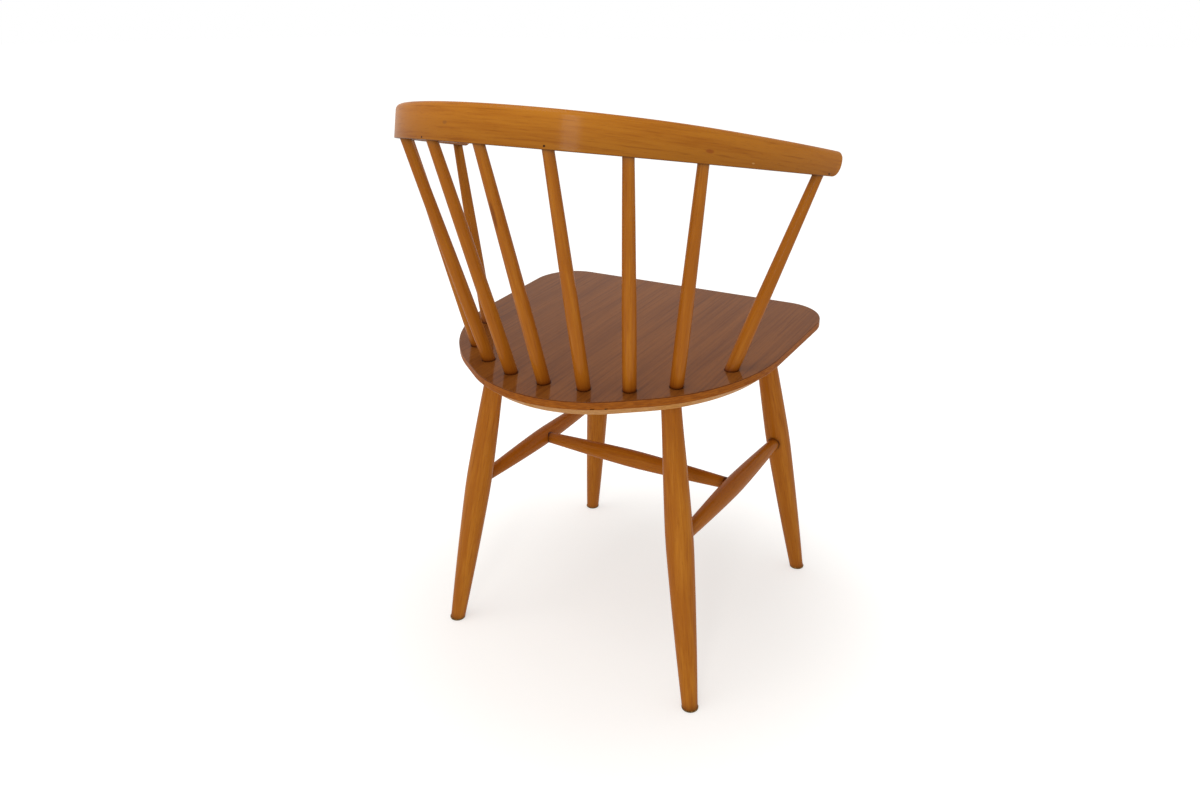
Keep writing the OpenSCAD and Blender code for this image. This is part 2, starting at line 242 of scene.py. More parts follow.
# %% Mirror it, fill it and give it its band and bevel
apply_modifier(seat, "MIRROR", use_axis=(True, False, False), merge_threshold=1e-5)
editing()
bpy.ops.mesh.select_all(action="SELECT")
bpy.ops.mesh.remove_doubles(threshold=1e-6)
bpy.ops.mesh.edge_face_add()
bpy.ops.mesh.extrude_region_move(TRANSFORM_OT_translate={"value": (0, 0, -SEAT_BAND * MM)})
bpy.ops.mesh.inset(thickness=SEAT_BEVEL * MM, depth=0)
bpy.ops.transform.translate(value=(0, 0, -(SEAT_T - SEAT_BAND) * MM))
outward(seat)
low = points_of(seat)
print("seat blank runs from", low.min(0).round(4), "to", low.max(0).round(4),
      "with", len(seat.data.polygons), "faces")

# %% Ease its edges as a sander would
TOP_EASE, BAND_EASE, FOOT_EASE = 0.7, 1.2, 1.0
for height, ease in ((0, TOP_EASE), (-SEAT_BAND, BAND_EASE), (-SEAT_T, FOOT_EASE)):
    picked = pick(seat, "EDGE", lambda p: abs(p.z - height * MM) < 1e-6)
    bpy.ops.mesh.bevel(offset=ease * MM, segments=3, affect="EDGES")
    print("eased", picked, "edges at", height, "mm by", ease, "mm")
bpy.ops.object.mode_set(mode="OBJECT")

# %% [markdown]
# ## Sockets and the faults in the plies
#
# Every tenon stands in a blind hole with a hair of room for glue. The holes are cut with boolean
# modifiers, as a drill would, and one joined cutter does a whole piece at once. Two short gaps in
# an inner ply show in the seat's back edge, and they are cut the same way with small blocks.

# %% Helpers that aim, drill and cut
GLUE_GAP, DRILL_LEAD, DRILL_SIDES = 0.1, 8, 48


def aim(start, towards):
    """The matrix that stands an upright piece at start and leans it towards a second point."""
    turn = (towards - start).to_track_quat("Z", "Y").to_matrix().to_4x4()
    return Matrix.Translation(start) @ turn


def drill(mouth, towards, diameter, depth):
    """A cutter that goes in at mouth, away from the tenon, and starts a little outside."""
    deselect()
    length = (depth + GLUE_GAP + DRILL_LEAD) * MM
    bpy.ops.mesh.primitive_cylinder_add(
        vertices=DRILL_SIDES, radius=(diameter / 2 + GLUE_GAP) * MM, depth=length,
        location=(0, 0, DRILL_LEAD * MM - length / 2))
    bit = bpy.context.object
    bpy.ops.object.transform_apply(location=True)
    place(bit, aim(mouth, towards))
    return bit


def cut_with(piece, cutters):
    only(cutters[0])
    for cutter in cutters:
        cutter.select_set(True)
    if len(cutters) > 1:
        bpy.ops.object.join()
    cutter = bpy.context.object
    apply_modifier(piece, "BOOLEAN", operation="DIFFERENCE", solver="EXACT", object=cutter)
    bpy.data.objects.remove(cutter)


# %% Cut the two gaps in the ply, then set the seat at its height and slope
PLY_GAPS, PLY_GAP_H, PLY_GAP_DEPTH = ((26.65, 5), (31.9, 3.5)), 1.5, 3
blocks = []
for angle, width in PLY_GAPS:
    deselect()
    bpy.ops.mesh.primitive_cube_add(size=1)
    block = bpy.context.object
    block.scale = (2 * PLY_GAP_DEPTH * MM, width * MM, PLY_GAP_H * MM)
    bpy.ops.object.transform_apply(scale=True)
    place(block, Matrix.Translation((0, SEAT_BACK_Y * MM, (PLY_GAP_H / 2 - SEAT_BAND) * MM))
          @ Matrix.Rotation(math.radians(90 + angle), 4, "Z")
          @ Matrix.Translation((SEAT_BACK_R * MM, 0, 0)))
    blocks.append(block)
cut_with(seat, blocks)
place(seat, seat_plane)
print("seat placed:", points_of(seat).min(0).round(4), points_of(seat).max(0).round(4))

# %% [markdown]
# ## Where the spindles and legs stand
#
# Spindle 1 is at the end of the sitter's left arm and spindle 9 at the end of the right one. Seven
# stand round the back and the two under the arms stand by themselves. Some of the real holes were
# drilled off their even places, most by a millimetre or two and one by six, and so are these.

# %% Feet and tops of the spindles
SPINDLES, FOOT_STEP, TOP_STEP, RING_R, RING_Y = 9, 14.7, 20.1, 206, 25
ARM_FOOT_R, ARM_FOOT_ANGLE, ARM_SETBACK, SPINDLE_INSET = 197, 67.8, 27, 1.5
MIDDLE_SPINDLE = (SPINDLES + 1) // 2
FOOT_DRIFT = (0, 0, 0, 0.3, 0.5, 1.2, 0.7, -1.4, 1.5)
TOP_DRIFT = (0, 0, 0, -6.3, 0.4, 2.3, 1.8, -1.5, 3.5)
arm_centre = Vector(((BEND_R - ARM_R) * math.sin(math.radians(BEND_ANGLE)),
                     (BEND_R - ARM_R) * math.cos(math.radians(BEND_ANGLE)) - BEND_R))


def spindle_foot(i):
    if i in (1, SPINDLES):
        r, angle = ARM_FOOT_R, ARM_FOOT_ANGLE * (1 if i == 1 else -1)
    else:
        r, angle = RING_R, (MIDDLE_SPINDLE - i) * FOOT_STEP
    angle = math.radians(angle) + FOOT_DRIFT[i - 1] / r
    return on_seat(r * math.sin(angle), RING_Y + r * math.cos(angle))


def spindle_top(i):
    if i in (1, SPINDLES):
        setback = ARM_SETBACK + TOP_DRIFT[i - 1] * (-1 if i == 1 else 1)
        angle = math.radians(BEND_ANGLE + ARM_ANGLE) - setback / ARM_R
        r = ARM_R - SPINDLE_INSET
        x, y = arm_centre.x + r * math.sin(angle), arm_centre.y + r * math.cos(angle)
        return on_rail(x if i == 1 else -x, y, rail_low(y))
    angle = math.radians((MIDDLE_SPINDLE - i) * TOP_STEP) + TOP_DRIFT[i - 1] / BEND_R
    r = BEND_R - SPINDLE_INSET
    y = r * math.cos(angle) - BEND_R
    return on_rail(r * math.sin(angle), y, rail_low(y))


# %% Feet and tops of the legs, and where the stretchers meet them
LEG_TOP_W = {"front": 259, "back": 255}
LEG_TOP_Y = {"front": -122, "back": 154}
FOOT_W = {"front": FOOT_W_FRONT, "back": FOOT_W_BACK}
STRETCHER_Z = {"front": 233, "back": 225}
SIDES = {"left": 1, "right": -1}


def leg_foot(end, side):
    y = FOOT_D / 2 * (-1 if end == "front" else 1)
    return to_origin @ (Vector((SIDES[side] * FOOT_W[end] / 2, y, 0)) * MM)


def leg_top(end, side):
    return on_seat(SIDES[side] * LEG_TOP_W[end] / 2, LEG_TOP_Y[end], -SEAT_T)


def side_end(end, side):
    a, b = leg_foot(end, side), leg_top(end, side)
    return a + (b - a) * (STRETCHER_Z[end] * MM / b.z)


def partner(end, side):
    """Where the side stretcher in this leg goes into the other leg."""
    return side_end("back" if end == "front" else "front", side)


def cross_end(side):
    return (side_end("front", side) + side_end("back", side)) / 2


# %% [markdown]
# ## Turned pieces
#
# Spindles, legs and stretchers come off a lathe, so each is a disc drawn out ring by ring, and
# each ring is scaled to the diameter the turner's gauge gives there. A Screw modifier would do it
# too, but the rings put points where the shape and the darkening at the joints need them. That
# darkening is partly dirt and partly painted shade.

# %% Turn one piece upright, then lean it into place
LATHE_STEPS = 6
axes = {}


def turn(name, rings, start, towards, sides=48):
    """rings is a list of (height, diameter) in millimetres from one end to the other."""
    deselect()
    height, across = rings[0]
    bpy.ops.mesh.primitive_circle_add(vertices=sides, radius=across / 2 * MM, fill_type="NGON",
                                      location=(0, 0, height * MM))
    piece = bpy.context.object
    piece.name = name
    bpy.ops.object.transform_apply(location=True)
    editing("FACE")
    bpy.ops.mesh.select_all(action="SELECT")
    for new_height, new_across in rings[1:]:
        bpy.ops.mesh.extrude_region_move(
            TRANSFORM_OT_translate={"value": (0, 0, (new_height - height) * MM)})
        if abs(new_across - across) > 1e-6:
            grow = new_across / across
            bpy.ops.transform.resize(value=(grow, grow, 1), center_override=(0, 0, new_height * MM))
        height, across = new_height, new_across
    outward(piece)
    axes[name] = aim(start, towards)
    place(piece, axes[name])
    return piece


def easy_curve(points, steps=LATHE_STEPS):
    """A smooth line through gauge points, each (height, diameter)."""
    p = [np.array(q, float) for q in points]
    line = []
    for i in range(len(p) - 1):
        a, b, c, d = p[max(i - 1, 0)], p[i], p[i + 1], p[min(i + 2, len(p) - 1)]
        for t in np.arange(steps) / steps:
            line.append(((2 * b + (c - a) * t + (2 * a - 5 * b + 4 * c - d) * t * t
                          + (3 * b - a - 3 * c + d) * t ** 3) / 2).tolist())
    return line + [p[-1].tolist()]


# %% Turn the nine spindles, with the rings closest together where dirt and painted shade darken them
SPINDLE_FOOT, SPINDLE_BELLY, SPINDLE_TIP = 16.4, 16.6, 12.2
FOOT_SOCKET, TOP_SOCKET, NECK, STRAIGHT = 12, 10, 4, 3
SPINDLE_SHAPE = ((0.13, 1), (0.34, 0.9), (0.5, 0.73), (0.67, 0.5), (0.84, 0.25))


def gauge(outline, heights):
    """Rings at the given heights, with diameters read off an outline."""
    h, d = np.array(outline).T
    return [(float(x), float(np.interp(x, h, d))) for x in sorted(heights)]


spindles = []
for i in range(1, SPINDLES + 1):
    foot, top = spindle_foot(i), spindle_top(i)
    rise = (top - foot).length / MM
    outline = easy_curve(
        [(NECK, SPINDLE_FOOT)]
        + [(rise * a, SPINDLE_TIP + (SPINDLE_BELLY - SPINDLE_TIP) * b) for a, b in SPINDLE_SHAPE]
        + [(rise - 2 * STRAIGHT, SPINDLE_TIP)])
    heights = ([-FOOT_SOCKET] + list(np.arange(-6, 15)) + list(np.linspace(18, rise - 16, 28))
               + list(rise + np.arange(-12, 4.6, 1.5)) + [rise + TOP_SOCKET])
    spindles.append(turn(f"turned_spindle_{i}", gauge(outline, heights), foot, top, 40))
    print(f"spindle {i}: {rise:.1f} mm long between seat and rail")

# %% Turn the four legs and cut their feet level
LEG_FOOT_D, LEG_BELLY_D, LEG_TOP_D, LEG_SOCKET, FOOT_LAND = 21, 35, 24.5, 13, 7
SIDE_END_D, SIDE_BELLY_D, CROSS_END_D, CROSS_BELLY_D = 16.5, 26, 16.5, 25.5
SIDE_TENON, CROSS_TENON, LAND_MARGIN = 18, 14, 2
SWELLING = ((0.29, 0.36), (0.58, 0.69), (0.84, 0.92))
NARROWING = ((0.19, 0.11), (0.48, 0.43), (0.78, 0.84))
legs = {}
land = SIDE_END_D / 2 + LAND_MARGIN
for end in ("front", "back"):
    for side in SIDES:
        foot, top, joint = leg_foot(end, side), leg_top(end, side), side_end(end, side)
        rise, belly = (top - foot).length / MM, (joint - foot).length / MM
        lower = easy_curve(
            [(FOOT_LAND, LEG_FOOT_D)]
            + [(belly * a, LEG_FOOT_D + (LEG_BELLY_D - LEG_FOOT_D) * b) for a, b in SWELLING]
            + [(belly - land, LEG_BELLY_D)])
        upper = easy_curve(
            [(belly + land, LEG_BELLY_D)]
            + [(belly + (rise - belly) * a, LEG_BELLY_D - (LEG_BELLY_D - LEG_TOP_D) * b)
               for a, b in NARROWING]
            + [(rise - 2 * STRAIGHT, LEG_TOP_D)])
        heights = ([-LEG_FOOT_D] + list(np.arange(3, 22, 3)) + list(np.arange(24, rise - 12, 4.5))
                   + list(rise + np.arange(-9, 5, 1.5)) + [rise + LEG_SOCKET])
        leg = turn(f"turned_leg_{end}_{side}", gauge(lower + upper, heights), foot, top, 64)
        editing()
        bpy.ops.mesh.select_all(action="SELECT")
        bpy.ops.mesh.bisect(plane_co=(0, 0, GLIDE_T * MM), plane_no=(0, 0, 1), use_fill=True,
                            clear_inner=True)
        bpy.ops.object.mode_set(mode="OBJECT")
        legs[end, side] = leg
        print(leg.name, f"{rise:.1f} mm from floor to seat, fattest at {belly:.1f} mm")

# %% Turn the three stretchers
BAR_SWELLING = ((0.2, 0.42), (0.35, 0.80))


def bar(name, a, b, end_d, belly_d, host_d, tenon):
    """A cigar-shaped bar from a to b, whose tenons go into hosts of a given diameter."""
    span, face = (b - a).length / MM, host_d / 2
    half = [(face - tenon, end_d)] + [(face + h, end_d) for h in (-4, -2, 0, 1.5)] + easy_curve(
        [(face + STRAIGHT, end_d)]
        + [(span * s, end_d + (belly_d - end_d) * t) for s, t in BAR_SWELLING]
        + [(span / 2 - CROSS_END_D / 2 - LAND_MARGIN, belly_d)])
    return turn(name, half + [(span - h, d) for h, d in reversed(half)], a, b, 56)


stretchers = {side: bar(f"turned_stretcher_{side}", side_end("front", side), side_end("back", side),
                        SIDE_END_D, SIDE_BELLY_D, LEG_BELLY_D, SIDE_TENON) for side in SIDES}
stretchers["cross"] = bar("turned_stretcher_cross", cross_end("left"), cross_end("right"),
                          CROSS_END_D, CROSS_BELLY_D, SIDE_BELLY_D, CROSS_TENON)
print("stretchers turned:", sorted(p.name for p in stretchers.values()))

# %% Drill the seat, the legs and the side stretchers
cut_with(seat, [drill(spindle_foot(i), spindle_top(i), SPINDLE_FOOT, FOOT_SOCKET)
                for i in range(1, SPINDLES + 1)]
         + [drill(leg_top(e, s), leg_foot(e, s), LEG_TOP_D, LEG_SOCKET) for e, s in legs])
for (end, side), leg in legs.items():
    inner, outer = side_end(end, side), partner(end, side)
    mouth = inner + (outer - inner).normalized() * (LEG_BELLY_D / 2 * MM)
    cut_with(leg, [drill(mouth, outer, SIDE_END_D, SIDE_TENON)])
for side, other in (("left", "right"), ("right", "left")):
    inner, outer = cross_end(side), cross_end(other)
    mouth = inner + (outer - inner).normalized() * (SIDE_BELLY_D / 2 * MM)
    cut_with(stretchers[side], [drill(mouth, outer, CROSS_END_D, CROSS_TENON)])
print("seat now has", len(seat.data.polygons), "faces")

# %% [markdown]
# ## The bent rail
#
# One length of beech is steamed round a former: a tight bend at the back and a gentle one along
# each arm. The section is spun round both bends as in the former, then mirrored. The lower
# face is planed to its slope, and the ends' corners are rounded. Then one bevel runs round both
# faces, wide along the top and narrow along the bottom, as a spokeshave and sandpaper leave it.

# %% Spin the section round the bend and along the left arm
RAIL_TIP_R, RAIL_TOE_R, RAIL_SPARE, RAIL_END = 7, 18, 12, 21
NEARLY = 0.01
deselect()
bpy.ops.mesh.primitive_plane_add(size=1, rotation=(math.radians(90), 0, math.radians(90)))
rail = bpy.context.object
rail.name = "bent_rail"
rail.scale = (RAIL_T * MM, (RAIL_H + RAIL_SPARE) * MM, 1)
rail.location = (0, 0, (RAIL_H - RAIL_SPARE) / 2 * MM)
bpy.ops.object.transform_apply(location=True, rotation=True, scale=True)
editing("FACE")
bpy.ops.mesh.select_all(action="SELECT")
bpy.ops.mesh.spin(steps=60, angle=math.radians(BEND_ANGLE), center=(0, -BEND_R * MM, 0),
                  axis=(0, 0, 1))
for steps, length in ((22, ARM_LEN - RAIL_END), (1, RAIL_END)):
    bpy.ops.mesh.spin(steps=steps, angle=length / ARM_R,
                      center=(arm_centre.x * MM, arm_centre.y * MM, 0), axis=(0, 0, 1))
pick(rail, "FACE", lambda p: abs(p.x) < 1e-6)
bpy.ops.mesh.delete(type="FACE")
outward(rail)
arc = points_of(rail)
print("half rail:", len(arc), "points, from", arc.min(0).round(4), "to", arc.max(0).round(4))

# %% Mirror it, round the ends' upper corners, plane the lower face and round the lower corners


def along_rail(points):
    """For points in the rail's frame: how far out from its centre line, up and along, in mm."""
    p = np.asarray(points, float).reshape(-1, 3) / MM
    x, bend = np.abs(p[:, 0]), math.radians(BEND_ANGLE)
    turned = np.arctan2(x, p[:, 1] + BEND_R)
    arm = np.arctan2(x - arm_centre.x, p[:, 1] - arm_centre.y)
    on_arm = turned > bend
    out = np.where(on_arm, np.hypot(x - arm_centre.x, p[:, 1] - arm_centre.y) - ARM_R,
                   np.hypot(x, p[:, 1] + BEND_R) - BEND_R)
    length = np.where(on_arm, BEND_R * bend + ARM_R * (arm - bend), BEND_R * turned)
    return np.stack([out, p[:, 2], np.where(p[:, 0] < 0, -length, length)], 1)


rail_end = BEND_R * math.radians(BEND_ANGLE) + ARM_LEN
apply_modifier(rail, "MIRROR", use_axis=(True, False, False), merge_threshold=1e-5)
picked = pick(rail, "EDGE", lambda p: abs(along_rail(p)[0, 2]) > rail_end - NEARLY
              and p.z > (RAIL_H - NEARLY) * MM)
bpy.ops.mesh.bevel(offset=RAIL_TIP_R * MM, segments=8, affect="EDGES", clamp_overlap=False)
bpy.ops.mesh.select_all(action="SELECT")
bpy.ops.mesh.bisect(plane_co=(0, 0, 0), plane_no=(0, math.sin(TAPER), math.cos(TAPER)),
                    use_fill=True, clear_inner=True)
planed = pick(rail, "EDGE", lambda p: abs(along_rail(p)[0, 2]) > rail_end - NEARLY
              and abs(p.z / MM - rail_low(p.y / MM)) < NEARLY)
bpy.ops.mesh.bevel(offset=RAIL_TOE_R * MM, segments=14, affect="EDGES", clamp_overlap=False)
outward(rail)
print("rounded", picked, "upper and", planed, "lower corners at distance",
      round(rail_end, 2), "mm along")

# %% One bevel round both faces, wide along the top and narrow below
RAIL_EDGE_R, RAIL_ARRIS, RAIL_END_EASE = 5.5, 1.0, 2.2
only(rail)
editing("EDGE")
bpy.ops.mesh.select_all(action="DESELECT")
bpy.ops.mesh.edges_select_sharp(sharpness=math.radians(50))
bpy.ops.object.mode_set(mode="OBJECT")
spots = along_rail(points_of(rail))
weights = np.zeros(len(rail.data.edges))
for edge in rail.data.edges:
    if edge.select:
        a, b = edge.vertices
        height = (spots[a, 1] + spots[b, 1]) / 2
        low = rail_low((rail.data.vertices[a].co.y + rail.data.vertices[b].co.y) / 2 / MM)
        if height > RAIL_H - NEARLY:
            radius = RAIL_EDGE_R
        elif height < low + NEARLY:
            radius = RAIL_ARRIS
        elif height > RAIL_H - RAIL_TIP_R - NEARLY:
            radius = RAIL_EDGE_R + (RAIL_END_EASE - RAIL_EDGE_R) * (RAIL_H - height) / RAIL_TIP_R
        else:
            radius = RAIL_ARRIS + (RAIL_END_EASE - RAIL_ARRIS) * (height - low) / RAIL_TOE_R
        weights[edge.index] = min(radius / RAIL_EDGE_R, 1)
layer = rail.data.attributes.new("bevel_weight_edge", "FLOAT", "EDGE")
layer.data.foreach_set("value", weights.astype(np.float32))
apply_modifier(rail, "BEVEL", limit_method="WEIGHT", width=RAIL_EDGE_R * MM, segments=5,
               use_clamp_overlap=False)
outward(rail)
print(int((weights > 0).sum()), "edges eased, the rail now has", len(rail.data.polygons), "faces")

# %% Put the rail in place and drill it for the spindles
place(rail, rail_plane)
cut_with(rail, [drill(spindle_top(i), spindle_foot(i), SPINDLE_TIP, TOP_SOCKET)
                for i in range(1, SPINDLES + 1)])
low, high = points_of(rail).min(0), points_of(rail).max(0)
print("rail box", low.round(4), high.round(4))

# %% [markdown]
# ## Glides
#
# A round brass cap with a rounded edge is nailed under each foot.

# %% Press the four glides and drill the legs for their nails
GLIDE_EASE, GLIDE_TOP_EASE, NAIL_D, NAIL_LEN = 1.6, 0.4, 2.4, 15
glides = {}
for (end, side), leg in legs.items():
    foot = leg_foot(end, side)
    deselect()
    bpy.ops.mesh.primitive_cylinder_add(vertices=48, radius=GLIDE_D / 2 * MM, depth=GLIDE_T * MM,
                                        location=(0, 0, GLIDE_T / 2 * MM))
    glide = bpy.context.object
    glide.name = f"pressed_glide_{end}_{side}"
    bpy.ops.object.transform_apply(location=True)
    pick(glide, "EDGE", lambda p: p.z < 1e-6)
    bpy.ops.mesh.bevel(offset=GLIDE_EASE * MM, segments=5, affect="EDGES")
    pick(glide, "EDGE", lambda p: p.z > (GLIDE_T - NEARLY) * MM)
    bpy.ops.mesh.bevel(offset=GLIDE_TOP_EASE * MM, segments=2, affect="EDGES")
    pick(glide, "FACE", lambda p: p.z > (GLIDE_T - NEARLY) * MM)
    bpy.ops.mesh.inset(thickness=(GLIDE_D / 2 - GLIDE_TOP_EASE - NAIL_D / 2) * MM, depth=0)
    bpy.ops.mesh.extrude_region_move(TRANSFORM_OT_translate={"value": (0, 0, NAIL_LEN * MM)})
    outward(glide)
    place(glide, Matrix.Translation(foot))
    glides[end, side] = glide
    mouth = foot + Vector((0, 0, GLIDE_T * MM))
    cut_with(leg, [drill(mouth, mouth - Vector((0, 0, 1)), NAIL_D, NAIL_LEN)])
print("glides:", sorted(g.name for g in glides.values()))

# %% [markdown]
# ## Grain, dirt and painted shade
#
# Each piece keeps two things for its finish. "grain" is where a point lies in its own blank: across
# the grain, and along it, with a shift for each turned piece so that no two look alike. The second
# is how near a point is to a joint, to the floor or to the rail's lower face, where the finish
# darkens it: partly dirt and dark varnish, partly painted shade where the parts meet. Spindles also
# keep a painted shade and reflection of the dark seat just above it, and a paler "collar" under the
# rail. The painted shade and reflection round the spindles' feet on the seat are drawn in the
# seat's finish, because its one large top face would spread them. Fades are in millimetres.

# %% Note each point's place in its blank
# Fades for the darkening at joints (partly dirt, partly painted shade), for the painted shade and
# reflection of the seat on the spindles' feet, and for the paler collar.
GRIME_AND_SHADE_FADE, FOOT_SHADE_FADE, COLLAR_FADE = 2.6, 7.0, 4.5
RAIL_FADE, SEAT_FADE, RING_FADE, GLIDE_FADE, FLOOR_FADE = 0.9, 1.6, 1.2, 4, 1.5


def blank_points(matrix, piece):
    co = points_of(piece)
    turned_back = np.array(matrix.inverted())
    return (co @ turned_back[:3, :3].T + turned_back[:3, 3]) / MM


def near(distance, fade=GRIME_AND_SHADE_FADE):
    return np.exp(-np.maximum(distance, 0) / fade)


def keep_finish(piece, grain, grime_and_shade):
    keep_vector(piece, "grain", np.asarray(grain) * MM)
    keep_number(piece, "grime_and_shade", np.clip(grime_and_shade, 0, 1))


def shift(n):
    return np.array([37.0 * n, 61.0 * n, 143.0 * n])


seat_spots = blank_points(seat_plane, seat)
keep_finish(seat, seat_spots, np.zeros(len(seat_spots)))

rail_spots = along_rail(blank_points(rail_plane, rail) * MM)
rail_base = rail_low(blank_points(rail_plane, rail)[:, 1])
# The rail darkens along its lower face: partly dirt, partly painted shade under the rail.
rail_dirt_and_shade = near(rail_spots[:, 1] - rail_base, RAIL_FADE)
keep_finish(rail, rail_spots, rail_dirt_and_shade)
print("rail runs", rail_spots.min(0).round(1), "to", rail_spots.max(0).round(1),
      "across, up and along")

for number, piece in enumerate(spindles):
    spots = blank_points(axes[piece.name], piece)
    above_seat = blank_points(seat_plane, piece)[:, 2]
    in_rail = blank_points(rail_plane, piece)
    below_rail = rail_low(in_rail[:, 1]) - in_rail[:, 2]
    # Each spindle darkens at the seat and under the rail: partly dirt, partly painted shade.
    keep_finish(piece, spots + shift(number + 1),
                near(above_seat - 0.5, SEAT_FADE) + 0.6 * near(below_rail, RAIL_FADE))
    # A painted shade and reflection of the dark seat darkens the spindle's foot.
    keep_number(piece, "painted_foot_shade", 0.75 * near(above_seat, FOOT_SHADE_FADE))
    keep_number(piece, "collar", np.clip(near(below_rail, COLLAR_FADE), 0, 1))
for number, ((end, side), piece) in enumerate(legs.items()):
    spots = blank_points(axes[piece.name], piece)
    below_seat = -SEAT_T - blank_points(seat_plane, piece)[:, 2]
    inner, outer = side_end(end, side), partner(end, side)
    beside = blank_points(aim(inner, outer), piece)
    ring = (near(np.hypot(beside[:, 0], beside[:, 1]) - SIDE_END_D / 2, RING_FADE)
            * (beside[:, 2] > 0))
    # Legs darken under the seat, round the stretcher's joint and just above the glide: partly dirt,
    # partly painted shade.
    keep_finish(piece, spots + shift(number + 20),
                near(below_seat) + ring + 0.5 * near(spots[:, 2] - 4, GLIDE_FADE))
for number, (side, piece) in enumerate(stretchers.items()):
    spots = blank_points(axes[piece.name], piece)
    length = spots[:, 2].min() + spots[:, 2].max()
    host = (SIDE_BELLY_D if side == "cross" else LEG_BELLY_D) / 2
    # Stretchers darken towards both ends, where they go into their hosts: partly dirt, partly
    # painted shade.
    grime_and_shade = near(np.minimum(spots[:, 2], length - spots[:, 2]) - host)
    keep_finish(piece, spots + shift(number + 30), grime_and_shade)
for number, (key, piece) in enumerate(glides.items()):
    spots = (points_of(piece) - np.array(leg_foot(*key))) / MM
    # Glides darken towards the floor: partly dirt, partly painted shade where they meet it.
    keep_finish(piece, spots + shift(number), 0.6 * near(spots[:, 2], FLOOR_FADE))

# %% Smooth the turned and rounded faces, and hold each piece up to its CAD node
pairs = {seat: "seat", rail: "back_rail"}
pairs |= {piece: f"spindle_{n + 1}" for n, piece in enumerate(spindles)}
pairs |= {piece: f"leg_{end}_{side}" for (end, side), piece in legs.items()}
pairs |= {piece: "cross_stretcher" if side == "cross" else f"side_stretcher_{side}"
          for side, piece in stretchers.items()}
pairs |= {piece: f"glide_{end}_{side}" for (end, side), piece in glides.items()}
for piece, node in pairs.items():
    smooth(piece)
    low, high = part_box(node)
    points = points_of(piece)
    off = np.concatenate([points.min(0) - np.array(low), points.max(0) - np.array(high)]) / MM
    print(f"{piece.name:28s} {len(piece.data.polygons):6d} faces, box off by", off.round(2))

# %% [markdown]
# ## Finishes
#
# Everything wooden is clear varnished beech, except the seat's veneer, which is darker and has a
# glossier lacquer. The colours come from noise stretched along each piece's own grain. The varnish
# is the shader's coat, and its warm tint darkens a turned piece towards its edges, as thick old
# varnish does.

# %% Helpers for node materials


def colour(red, green, blue):
    """A colour picked on screen, 0 to 255, as the linear values that nodes use."""
    return tuple(c / 12.92 if c <= 0.04045 else ((c + 0.055) / 1.055) ** 2.4
                 for c in (red / 255, green / 255, blue / 255)) + (1.0,)


class Finish:
    """A material and short ways to add nodes to it."""

    def __init__(self, name):
        self.material = bpy.data.materials.new(name)
        self.material.use_nodes = True
        self.tree = self.material.node_tree
        self.tree.nodes.clear()
        self.output = self.tree.nodes.new("ShaderNodeOutputMaterial")
        self.shader = self.tree.nodes.new("ShaderNodeBsdfPrincipled")
        self.tree.links.new(self.shader.outputs["BSDF"], self.output.inputs["Surface"])

    def put(self, socket, value):
        if isinstance(value, bpy.types.NodeSocket):
            self.tree.links.new(value, socket)
        else:
            socket.default_value = value

    def set(self, **values):
        for key, value in values.items():
            self.put(self.shader.inputs[key.replace("_", " ")], value)

    def attribute(self, name, output):
        node = self.tree.nodes.new("ShaderNodeAttribute")
        node.attribute_name = name
        return node.outputs[output]

    def stretch(self, vector, sizes):
        """A vector in metres counted in steps of sizes, in millimetres."""
        node = self.tree.nodes.new("ShaderNodeVectorMath")
        node.operation = "MULTIPLY"
        self.put(node.inputs[0], vector)
        node.inputs[1].default_value = [1000 / s for s in sizes]
        return node.outputs[0]

    def noise(self, vector, sizes, detail=2.0):
        node = self.tree.nodes.new("ShaderNodeTexNoise")
        node.inputs["Detail"].default_value = detail
        node.inputs["Scale"].default_value = 1.0
        self.put(node.inputs["Vector"], self.stretch(vector, sizes))
        return node.outputs["Fac"]

    def sum(self, operation, a, b=0.0, clamp=False):
        node = self.tree.nodes.new("ShaderNodeMath")
        node.operation, node.use_clamp = operation, clamp
        self.put(node.inputs[0], a)
        self.put(node.inputs[1], b)
        return node.outputs[0]

    def step(self, value, low, high):
        """0 below low, 1 above high, smooth between. With low above high it falls instead."""
        node = self.tree.nodes.new("ShaderNodeMapRange")
        node.interpolation_type = "SMOOTHSTEP"
        self.put(node.inputs["Value"], value)
        start, end = (low, high) if low < high else (high, low)
        node.inputs["From Min"].default_value, node.inputs["From Max"].default_value = start, end
        if low > high:
            node.inputs["To Min"].default_value, node.inputs["To Max"].default_value = 1.0, 0.0
        return node.outputs["Result"]

    def mix(self, factor, a, b):
        node = self.tree.nodes.new("ShaderNodeMix")
        node.data_type = "RGBA"
        self.put(node.inputs[0], factor)
        self.put(node.inputs[6], a)
        self.put(node.inputs[7], b)
        return node.outputs[2]

    def axis(self, vector, which):
        node = self.tree.nodes.new("ShaderNodeSeparateXYZ")
        self.put(node.inputs[0], vector)
        return node.outputs[which]

    def spot(self, vector, centre, sizes, edge=0.5):
        """1 inside an ellipsoid, falling to 0 outside. Centre and sizes are in millimetres."""
        move = self.tree.nodes.new("ShaderNodeVectorMath")
        move.operation = "SUBTRACT"
        self.put(move.inputs[0], vector)
        move.inputs[1].default_value = [c * MM for c in centre]
        size = self.tree.nodes.new("ShaderNodeVectorMath")
        size.operation = "LENGTH"
        self.put(size.inputs[0], self.stretch(move.outputs[0], sizes))
        return self.step(size.outputs["Value"], 1.0, edge)

    def bump(self, height, depth):
        node = self.tree.nodes.new("ShaderNodeBump")
        node.inputs["Distance"].default_value = depth * MM
        self.put(node.inputs["Height"], height)
        self.put(self.shader.inputs["Normal"], node.outputs[0])


